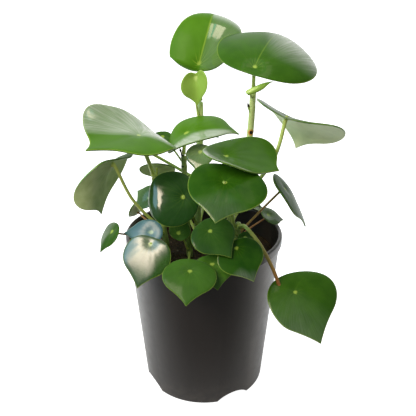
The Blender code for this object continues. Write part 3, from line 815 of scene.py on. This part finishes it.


# Each leaf's row begins with where the petiole meets the blade (at), the way the blade looks (face,
# as a turn round the pot to the right and a lift above level), the tip's turn from downhill, length
# and width (size), and how far the blade curves down toward its tip, base, right and left (bend).
# Stem and height say where the petiole starts. curl: how much further the outer part curves toward
# the tip. fold: how far the right and left half slope. share: how much of the length lies behind
# the petiole, and notch: how deep it is cut in there. flank: how soon the sides draw in, and drip:
# how far the point is drawn out. lean, sweep: the tip or the sides pushed over. dimple: the hollow
# over the petiole. crowd: how close the margin's points stand near the tip. petiole: its radius,
# and via: points on its way. light: how pale it is, lowered as painted shade on the petioles inside
# the plant. red: how red-brown, and red_from: from how far along. yellow: how far the blade is from
# deep green, partly its own tone and partly painted light, higher on the upper leaves and lower on
# the shaded lower ones. rib: how pale its midrib is. wax: its gloss, and sheen: gloss in streaks,
# with a painted sheen mixed into the colour of the upper face and painted light into the underside,
# which wax_side and sheen_side keep to one side: its angle from the tip, where it starts and how
# gradually.
LEAVES = {
    1: row((-4.5, 44, 288), (0, 16), 165, (74, 60), (42, 80, 25, 15), "middle", 258, share=0.12,
           lean=-0.38, rib=1.0, yellow=0.74, wax=0.9, curl=50, flank=22, drip=0,
           wax_side=(-90, 0.02, 0.05), sheen=0.25, sheen_side=(-90, 0.0, 0.3)),
    2: row((-7, 26, 281), (-5, 5), 4, (31, 23), (0, 0, 0, 0), "middle", 246, share=0.2, notch=0.3,
           fold=(-30, -30), crowd=0, lean=-0.15, petiole=1.0, via=[(-7, 31, 262)], sweep=-1.2),
    3: row((41, 0, 295), (0, 54), 158, (87, 91), (45, 10, 25, 30), "tall", 273, share=0.1, sweep=-4,
           petiole=1.5, rib=0.3, yellow=0.3, flank=26, drip=0.03, sheen=0.8,
           sheen_side=(-50, 0.25, 0.5)),
    4: row((72, 18, 249.5), (110, 70), 34, (66, 85), (48, 10, -16, -22), "tall", 175, sweep=-3,
           lean=-0.12, petiole=1.7, via=[(60, 8, 212)], yellow=0.3, flank=30, drip=0.25, share=0.1,
           curl=50, sheen=0.3),
    5: row((-52, -20, 245), (0, 82), -48, (76, 80), (-5, 50, 15, -37), "left", 203, share=0.33,
           lean=-0.22, petiole=1.8, yellow=0.6, flank=30, drip=0.3, sweep=-6.5, sheen=1.1,
           sheen_side=(-140, -0.1, 0.25)),
    6: row((-77, -25, 221), (-112, 19), 6, (56, 57), (15, 75, -60, 5), "left", 157, share=0.18,
           lean=0.48, via=[(-60, -22, 188)], light=1.0, red=0.05, yellow=0.3, flank=32, drip=0.25),
    7: row((-16, 6, 238.5), (-30, 66), 128, (69, 46), (35, 45, 10, -25), "front", 222, lean=0.4,
           yellow=0.7, curl=15, flank=30, drip=0.22, sheen=1.0, sheen_side=(-75, 0.2, 0.25)),
    # The petioles of leaves 8 to 13 lie inside the plant, and their low light value is painted shade.
    8: row((18, -36, 232.5), (60, 66), 30, (62, 67), (-6, -10, -5, -40), "right", 160, lean=0.5,
           sweep=8.5, flank=24, yellow=0.35, sheen=1.0, sheen_side=(-120, 0.55, 0.2), light=0.35),
    9: row((16.5, -59, 219), (3, 62), -14, (61, 62.5), BEND, "right", 155, share=0.37, notch=0.12,
           petiole=1.5, yellow=0.12, flank=34, sweep=3, sheen=0.15, wax=0.02, sheen_side=(0, 0.3, 0.4),
           light=0.35),
    10: row((-16, -35, 196), (5, 35), -85, (47, 48), (18, 15, 20, 15), "middle", 150, petiole=1.2,
            yellow=-0.06, wax=0.5, curl=50, drip=0, flank=12, wax_side=(0, 0.35, 0.15), light=0.35),
    11: row((5, -58, 177), (5, 55), 33, (40, 38), BEND, "right", 150, petiole=1.1, yellow=0.05,
            light=0.35),
    12: row((26, -64, 165), (15, 50), 17, (38, 40), BEND, "right", 145, share=0.17, petiole=1.1,
            yellow=0.05, sheen=0.35, sheen_side=(-20, 0.65, 0.25), light=0.35),
    13: row((-10.5, -80, 153), (0, 60), -5, (41, 43), (20, 15, 10, 10), "front", 130, petiole=1.1,
            via=[(-13, -30, 134), (-13, -50, 144), (-12.5, -67, 151.2)], yellow=0.26, wax=0.0,
            light=0.35),
    14: row((7, -69, 153), (5, 50), 8, (31, 36), BEND, "right", 140, petiole=1.0, yellow=0.35),
    15: row((-43, -55, 164), (-12, 42), -10, (45, 41), (20, 30, 10, 10), "left", 140, share=0.14,
            petiole=1.0, via=[(-42, -45, 144), (-38, -24, 141)], yellow=0.05, wax=0.85,
            wax_side=(-90, -0.75, 0.35)),
    16: row((-44, -33, 163), (-12, 42), -85, (36, 23), (20, 20, 10, 10), "left", 152, petiole=0.9,
            yellow=0.0, wax=0.25),
    17: row((-78.5, -30, 163), (-60, 40), 0, (30, 24), BEND, "left", 140, petiole=0.8, red=0.8,
            light=0.4, sheen=0.6, sheen_side=(-90, 0.0, 0.4)),
    18: row((-65, 34, 152.5), (-120, 20), 180, (28, 32), BEND, "left", 150, share=0.15, petiole=0.8,
            via=[(-54, 12, 154.5)], red=0.9, drip=0, yellow=0.25, sheen=0.4),
    19: row((73, 10, 186), (85, 38), 0, (59, 47), (20, 20, 10, 10), "right", 155, petiole=1.1, red=0.75,
            yellow=0.1, sheen=0.3, light=0.3, sheen_side=(0, 0.0, 0.8)),
    20: row((59, 15, 158), (60, 60), 45, (26, 22), BEND, "right", 150, petiole=0.8, red=0.9, light=0.3,
            sheen=0.3),
    21: row((76, -60, 121.5), (20, 52), 12, (65, 66), (20, 20, 10, 15), "right", 163, sweep=6,
            petiole=1.6, red=1.0, red_from=0.2, light=0.6, yellow=0.25, sheen=0.28,
            sheen_side=(-40, -0.2, 1.2),
            via=[(35, -34, 168), (46.5, -47, 158), (57, -54.5, 140), (66, -56.5, 118)]),
    22: row((-22, -25, 158), (0, 45), 150, (22, 19), BEND, "front", 135, petiole=0.8),
    23: row((35, -36, 160), (20, 45), 20, (19, 16), BEND, "right", 142, petiole=0.8),
    24: row((-41, 8, 207), (180, 40), 0, (28, 32), BEND, "left", 190, petiole=0.9),
    25: row((-36, 15, 233), (0, 60), 0, (24, 18), BEND, "front", 215, petiole=0.8),
    26: row((-3, -12, 228), (-10, 50), 0, (28, 24), BEND, "middle", 205, petiole=0.9, yellow=0.45,
            sheen=0.4),
    27: row((-64, 32, 226), (-150, 70), 0, (46, 40), (20, 15, 10, 10), "middle", 190,
            via=[(-34, 30, 203)]),
    28: row((-6, 46, 224), (180, 75), 0, (44, 40), (20, 15, 10, 10), "middle", 205),
    29: row((18, 52, 186), (170, 50), 0, (54, 48), (20, 15, 10, 10), "tall", 165),
    30: row((-32, 46, 170), (-155, 45), 0, (46, 38), (20, 15, 10, 10), "middle", 145),
    31: row((40, 48, 160), (140, 45), 0, (40, 36), (20, 15, 10, 10), "tall", 145),
    32: row((2, 78, 158), (180, 50), 0, (42, 36), (20, 15, 10, 10), "middle", 140),
    33: row((-50.5, 15, 174), (-40, 40), -100, (27, 24), BEND, "left", 165, petiole=0.9, yellow=0.35,
            sheen=0.25),
    34: row((35.5, 0, 274.5), (-30, 40), 126, (24, 8), (10, 10, 75, 75), "tall", 268, share=0.06,
            petiole=0.9, dimple=0.3),
}
YOUNG_LEAVES = ("leaf_02", "leaf_34")
# The colours of an upper face: deep green, yellow-green, along the veins and at the margin.
GREEN = dict(deep=(18, 62, 3), bright=(88, 138, 28), vein=(142, 172, 60), edge=(160, 186, 76))
YOUNG_GREEN = dict(deep=(138, 178, 62), bright=(168, 200, 100), vein=(190, 218, 120),
                   edge=(200, 222, 130))
# One leaf's colours are blue-grey instead, as a painted reflection of the sky.
PAINTED_SKY_REFLECTION = dict(deep=(66, 110, 122), bright=(92, 136, 140), vein=(120, 160, 150),
                 edge=(150, 180, 150))
# The painted sheen on the upper face and the painted light on the underside, and the gloss and relief
# of smooth and waxy.
PAINTED_SHEEN = (206, 212, 198)
PAINTED_UNDERSIDE_LIGHT = (246, 250, 226)
CLEAR_COAT = 0.12
WAXY_COAT = 0.3
SMOOTH_RELIEF = 0.04
WAXY_RELIEF = 0.9


def vein_group():
    """Where the veins, the pale spot over the petiole and the thin margin lie on a blade.

    The blade's own place runs from its petiole (0) to its margin (1), toward the tip and to the
    right, and its third number is half of the blade's width in millimetres.
    """
    outputs = ("Veins", "Rays", "Spot", "Margin", "Streaks", "Rib")
    tree, given, result = node_group("blade marks", {"Place": "Vector"}, outputs)
    ahead, aside, half_width = split(given["Place"])
    turn = calc("ARCTAN2", aside, ahead)
    squares = (calc("POWER", part, 2.0) for part in (ahead, aside))
    share = calc("SQRT", calc("ADD", *squares))
    away = times(share, half_width)
    bent = times(times(share, VEIN_BEND), calc("SINE", turn))
    start = calc("ADD", turn, bent)
    swing = calc("ABSOLUTE", calc("SINE", times(start, VEINS / 2)))
    distance = times(times(swing, 2 / VEINS), away)
    width = ramp(share, -0.6, 0.95)
    veins = fade(calc("DIVIDE", distance, width), 1.0, 0.15)
    plug(result["Veins"], times(veins, fade(share, 0.95, 0.3)))
    rib = fade(times(calc("ABSOLUTE", aside), half_width), 1.5, 0.3)
    onward = times(fade(ahead, 0.0, 0.04), fade(share, 1.0, 0.5))
    plug(result["Rib"], times(rib, onward))
    plug(result["Rays"], times(fade(swing, 0.45, 0.0), fade(away, 8.0, 1.5)))
    plug(result["Spot"], fade(away, 2.4, 0.9))
    plug(result["Margin"], fade(share, 0.965, 0.99))
    round_way = node(tree, "CombineXYZ", X=calc("COSINE", start), Y=calc("SINE", start),
                     Z=times(share, 0.12))
    fine = node(tree, "TexNoise", Vector=round_way.outputs[0], Scale=21.0, Detail=3.0)
    plug(result["Streaks"], fade(fine.outputs["Fac"], 0.38, 0.66))
    return tree


def blade_marks(tree):
    """The marks of the blade that the material is on."""
    return node(tree, "Group", {"node_tree": MARKS}, Place=attribute(tree, "blade_place")).outputs


def leaf_top(name, deep, bright, vein, edge, coat_roughness=CLEAR_COAT, relief=SMOOTH_RELIEF):
    """The glossy upper face, lighter along its veins, with streaks of coat gloss and of painted sheen
    in its colour.
    """
    made, tree, shader = finish(name, IOR=1.4, Specular_IOR_Level=0.1, Coat_Roughness=coat_roughness,
                                Coat_IOR=2.0)
    marks = blade_marks(tree)
    yellow, ribbed, waxed = split(attribute(tree, "blade_tone"))
    shade, height = grain(object_place(tree), 75.0)
    # The yellow value is partly the leaf's own tone and partly painted light: upper leaves are set
    # lighter, and the lower, shaded ones deeper.
    clouded = mix(ramp(shade, 0.12, yellow), deep, bright)
    veins = times(marks["Veins"], 0.02)
    lines = ramp(times(marks["Rib"], ribbed), 0.7, veins)
    veined = mix(lines, clouded, vein)
    rays = times(marks["Rays"], ramp(ribbed, 0.8, 0.09))
    rayed = mix(rays, veined, vein)
    spotted = mix(times(marks["Spot"], 0.85), rayed, edge)
    edged = mix(times(marks["Margin"], 0.4), spotted, edge)
    streaks = ramp(marks["Streaks"], 0.36, 0.5)
    streaked = times(attribute(tree, "blade_gloss_and_painted_light", "Fac"), streaks)
    # Painted sheen: where the leaf's sheen value is high, pale streaks are mixed into the colour; the
    # same streaks also add real coat gloss below.
    with_painted_sheen = mix(times(streaked, 0.5), edged, PAINTED_SHEEN)
    set_surface(shader, with_painted_sheen, shade, (0.38, 0.1), height, relief)
    plug(shader["Coat Weight"], calc("ADD", ramp(shade, 0.015, waxed), streaked))
    return made


def leaf_underside(name, pale, paler, vein):
    """The matt underside: pale, paler still with painted light where the leaf's sheen value is high,
    and with veins that stand a little proud.
    """
    made, tree, shader = finish(name, IOR=1.4)
    marks = blade_marks(tree)
    shade, height = grain(object_place(tree), 110.0)
    underside_painted_light = attribute(tree, "blade_gloss_and_painted_light", "Fac")
    # Painted light: the underside is mixed toward a very pale colour by the leaf's sheen value.
    clouded = mix(underside_painted_light, mix(shade, pale, paler), PAINTED_UNDERSIDE_LIGHT)
    veined = mix(times(marks["Veins"], 0.5), clouded, vein)
    raised = ramp(marks["Veins"], 2.0, height)
    set_surface(shader, veined, shade, (0.5, 0.1), raised, 0.08)
    return made


def leaf_margin(name, colour, darker):
    """The thin rounded edge of a blade, paler than its face."""
    made, tree, shader = finish(name, IOR=1.42)
    shade, height = grain(object_place(tree), 160.0)
    set_surface(shader, mix(shade, colour, darker), shade, (0.3, 0.1), height, 0.03)
    return made


def unit_disc():
    """A flat disc of rings and spokes, pulled out ring by ring."""
    bpy.ops.mesh.primitive_circle_add(vertices=SPOKES, radius=1 / RINGS, fill_type="TRIFAN")
    flat = bpy.context.object
    bpy.ops.object.mode_set(mode="EDIT")
    bpy.ops.mesh.select_mode(type="EDGE")
    bpy.ops.mesh.select_all(action="SELECT")
    bpy.ops.mesh.region_to_loop()
    for ring in range(1, RINGS):
        grow = (ring + 1) / ring
        bpy.ops.mesh.extrude_region_move()
        bpy.ops.transform.resize(value=(grow, grow, 1), center_override=(0, 0, 0))
    bpy.ops.mesh.select_mode(type="VERT")
    bpy.ops.mesh.select_all(action="SELECT")
    bpy.ops.mesh.normals_make_consistent(inside=False)
    bpy.ops.object.mode_set(mode="OBJECT")
    if flat.data.polygons[0].normal.z < 0:
        flat.data.flip_normals()
    return flat


def leaf_axes(leaf):
    """Directions of the blade at the petiole: toward its tip, to its right, and out of its face."""
    round_pot, lift = (math.radians(angle) for angle in leaf["face"])
    side = math.sin(round_pot)
    front = -math.cos(round_pot)
    out = Vector((side * math.cos(lift), front * math.cos(lift), math.sin(lift)))
    downhill = Vector((side * math.sin(lift), front * math.sin(lift), -math.cos(lift)))
    turn = math.radians(leaf["turn"])
    tip = downhill * math.cos(turn) + out.cross(downhill) * math.sin(turn)
    return tip, out.cross(tip), out


def margin(leaf, turn):
    """The blade's outline, as lengths toward the tip and to the right, at angles from the tip."""
    length, width = leaf["size"]
    radius = width / 2
    flank = math.radians(leaf["flank"])
    drip = leaf["drip"] * radius
    notch = leaf["notch"]
    notch_power = BASE_NOTCH_POWER + BASE_NOTCH_GROWTH * notch
    tip_radius = radius / math.cos(flank) ** FLANK_POWER + drip
    reach = radius / np.cos(np.maximum(0, flank - np.abs(turn))) ** FLANK_POWER
    reach *= 1 - notch * np.maximum(0, -np.cos(turn)) ** notch_power
    reach += drip * np.exp(-np.abs(turn) / DRIP_TURN)
    stretch = length / (BASE_REACH * radius + tip_radius)
    centre = stretch * BASE_REACH * radius - leaf["share"] * length
    along = stretch * reach * np.cos(turn) + centre
    across = reach * np.sin(turn) + leaf["sweep"] * np.sin(turn) ** 2
    return along + leaf["lean"] * across, across


def arc(distance, rate):
    """Length along and drop of a strip that bends at the rate, in radians for each millimetre."""
    rate = np.where(np.abs(rate) < STRAIGHT, STRAIGHT, rate)
    return np.sin(rate * distance) / rate, (1 - np.cos(rate * distance)) / rate


def curling_arc(distance, rate, curl, reach):
    """The same and the slope, where the outer part toward the tip bends by the curl as well."""
    inner = np.minimum(distance, CURL_START * reach)
    forward, drop = arc(inner, rate)
    slope = rate * inner
    tighter = rate + math.radians(curl) / ((1 - CURL_START) * reach)
    ahead, down = arc(distance - inner, tighter)
    forward = forward + ahead * np.cos(slope) - down * np.sin(slope)
    drop = drop + ahead * np.sin(slope) + down * np.cos(slope)
    return forward, drop, slope + tighter * (distance - inner)


def blade_points(leaf, turn, share, number):
    """Points of the upper face. The blade ripples a little, and swells between its veins."""
    length, width = leaf["size"]
    tip, right, out = (np.array(axis) for axis in leaf_axes(leaf))
    edge_along, edge_across = margin(leaf, turn)
    along = edge_along * share
    across = edge_across * share
    front = length * (1 - leaf["share"])
    back = length * leaf["share"]
    bend_tip, bend_base, bend_right, bend_left = (math.radians(angle) for angle in leaf["bend"])
    rate = np.where(along > 0, bend_tip / front, bend_base / back)
    forward, drop, slope = curling_arc(along, rate, leaf["curl"], front)
    sideways, fall = arc(across, np.where(across > 0, bend_right, bend_left) / (width / 2))
    fold_right, fold_left = (math.tan(math.radians(angle)) for angle in leaf["fold"])
    fall += (np.hypot(across, RIDGE) - RIDGE) * np.where(across > 0, fold_right, fold_left)
    away = along ** 2 + across ** 2
    fall += leaf["dimple"] * np.exp(-away / DIMPLE_RADIUS ** 2)
    between = np.abs(np.sin(VEINS / 2 * (turn + VEIN_BEND * share * np.sin(turn))))
    fall -= SWELL * width * between ** 2 * 4 * share * (1 - share)
    fall += RIPPLE * width * share ** 3 * np.sin(RIPPLES * turn + RIPPLE_SHIFT * (number - 1))
    fall += LIP * np.clip((share - LIP_START) / (1 - LIP_START), 0, 1) ** 2
    slope = slope[:, None]
    tilted = out * np.cos(slope) + tip * np.sin(slope)
    return (np.array(leaf["at"]) + tip * forward[:, None] - out * drop[:, None]
            + right * sideways[:, None] - tilted * fall[:, None])


def petiole_curve(leaf, thickness):
    """From inside the stem up to the underside of the blade."""
    _, _, out = leaf_axes(leaf)
    stem = leaf["stem"]
    end = Vector(leaf["at"]) - out * (leaf["dimple"] + thickness)
    curve = stem_curve(stem, STEM_SEARCH_STEPS)
    last = len(curve) - 1
    index = min(range(len(curve)), key=lambda step: abs(curve[step].z - leaf["height"]))
    middle = curve[index]
    ahead = (curve[min(index + 1, last)] - curve[max(index - 1, 0)]).normalized()
    radius = leaf["petiole"]
    via = [Vector(point) for point in leaf["via"] or [(middle + end) / 2]]
    leaving = via[0] - middle
    if leaf["height"] >= stem["path"][-1][2] - 1:
        root = middle + ahead * (ROOT_GAP + radius * math.sin(leaving.angle(ahead)))
    else:
        leaving.normalize()
        outward = (leaving - ahead * leaving.dot(ahead)).normalized()
        clear = stem_radius(stem, index / last) + ROOT_GAP + radius * leaving.dot(ahead)
        root = middle + outward * clear
    smooth = smooth_points([root, *via, end - out * PETIOLE_END, end], PETIOLE_STEPS)
    return [middle + (root - middle) * ROOT_SHARE, *smooth, end + out * 0.5 * thickness]


def petiole_radii(leaf, curve):
    """Thicker at the foot, and flared where it meets the blade."""
    radii = []
    for point in curve:
        foot = PETIOLE_FOOT_SWELL * math.exp(-(point - curve[0]).length / PETIOLE_FOOT)
        flare = PETIOLE_FLARE_SWELL * math.exp(-(point - curve[-1]).length / PETIOLE_FLARE)
        radii.append(leaf["petiole"] * (1 + foot + flare))
    return radii


def side_share(side, flat):
    """How much of the wax, or of the gloss and painted sheen, each point of the disc has, when it keeps
    to one side.
    """
    toward, start, soft = side
    turn = math.radians(toward)
    across = flat[:, 0] * math.cos(turn) + flat[:, 1] * math.sin(turn)
    return np.clip((across - start) / soft, 0, 1)


def add_leaf(name, number, leaf, faces):
    """Bends a copy of the disc to the leaf, thickens it and joins its petiole to it."""
    blade = DISC.copy()
    blade.data = DISC.data.copy()
    blade.name = name + "_grown"
    bpy.context.collection.objects.link(blade)
    mesh = blade.data
    flat = np.array([vert.co for vert in mesh.vertices])
    turn = np.arctan2(flat[:, 1], flat[:, 0])
    turn -= leaf["crowd"] * np.sin(turn)
    share = np.hypot(flat[:, 0], flat[:, 1])
    mesh.vertices.foreach_set("co", (blade_points(leaf, turn, share, number) * MM).ravel())
    flat[:, 2] = leaf["size"][1] / 2
    wax = leaf["wax"] * side_share(leaf["wax_side"], flat)
    plain = np.full((len(flat), 2), (leaf["yellow"], leaf["rib"]))
    teach(mesh, "blade_place", flat)
    teach(mesh, "blade_tone", np.column_stack((plain, wax)))
    teach(mesh, "blade_gloss_and_painted_light", leaf["sheen"] * side_share(leaf["sheen_side"], flat))
    for face in faces:
        mesh.materials.append(face)
    thickness = LARGE_BLADE if leaf["size"][0] > LARGE_LEAF else SMALL_BLADE
    use_modifier(blade, "SOLIDIFY", thickness=thickness * MM, offset=-1, material_offset=1,
                 material_offset_rim=2)
    use_modifier(blade, "BEVEL", width=BLADE_EDGE * MM, segments=BLADE_EDGE_STEPS,
                 limit_method="ANGLE", angle_limit=math.radians(BLADE_EDGE_ANGLE))
    curve = petiole_curve(leaf, thickness)
    petiole = tube("petiole", curve, petiole_radii(leaf, curve), PETIOLE_ROUNDNESS, petiole_skin,
                   leaf["light"], red=leaf["red"], red_from=leaf["red_from"])
    pick(petiole, blade)
    bpy.ops.object.join()
    soften(blade, LEAF_CREASE)
    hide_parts(name)
    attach(blade, "root")


MARKS = vein_group()
DISC = unit_disc()
petiole_skin = stalk_skin("petiole skin", (84, 122, 44), (190, 210, 110), (164, 98, 56))
# Materials of the upper face, the underside and the margin.
grown_faces = (
    leaf_top("leaf top", **GREEN),
    leaf_underside("leaf underside", (166, 190, 124), (186, 206, 146), (200, 214, 164)),
    leaf_margin("leaf margin", (112, 150, 60), (80, 122, 42)),
)
waxed_top = leaf_top("waxed top", **GREEN, coat_roughness=WAXY_COAT, relief=WAXY_RELIEF)
# Leaf 16's upper face has the painted sky reflection as its colour.
painted_reflection_top = leaf_top("painted sky reflection top", **PAINTED_SKY_REFLECTION, coat_roughness=WAXY_COAT)
young_faces = (
    leaf_top("young top", **YOUNG_GREEN),
    leaf_underside("young underside", (150, 186, 92), (166, 198, 108), (186, 208, 134)),
    leaf_margin("young margin", (184, 208, 112), (150, 184, 80)),
)
special_faces = dict.fromkeys(YOUNG_LEAVES, young_faces)
special_faces["leaf_15"] = (waxed_top, *grown_faces[1:])
special_faces["leaf_16"] = (painted_reflection_top, *grown_faces[1:])
for number, leaf in LEAVES.items():
    name = f"leaf_{number:02}"
    add_leaf(name, number, leaf, special_faces.get(name, grown_faces))
bpy.data.objects.remove(DISC)
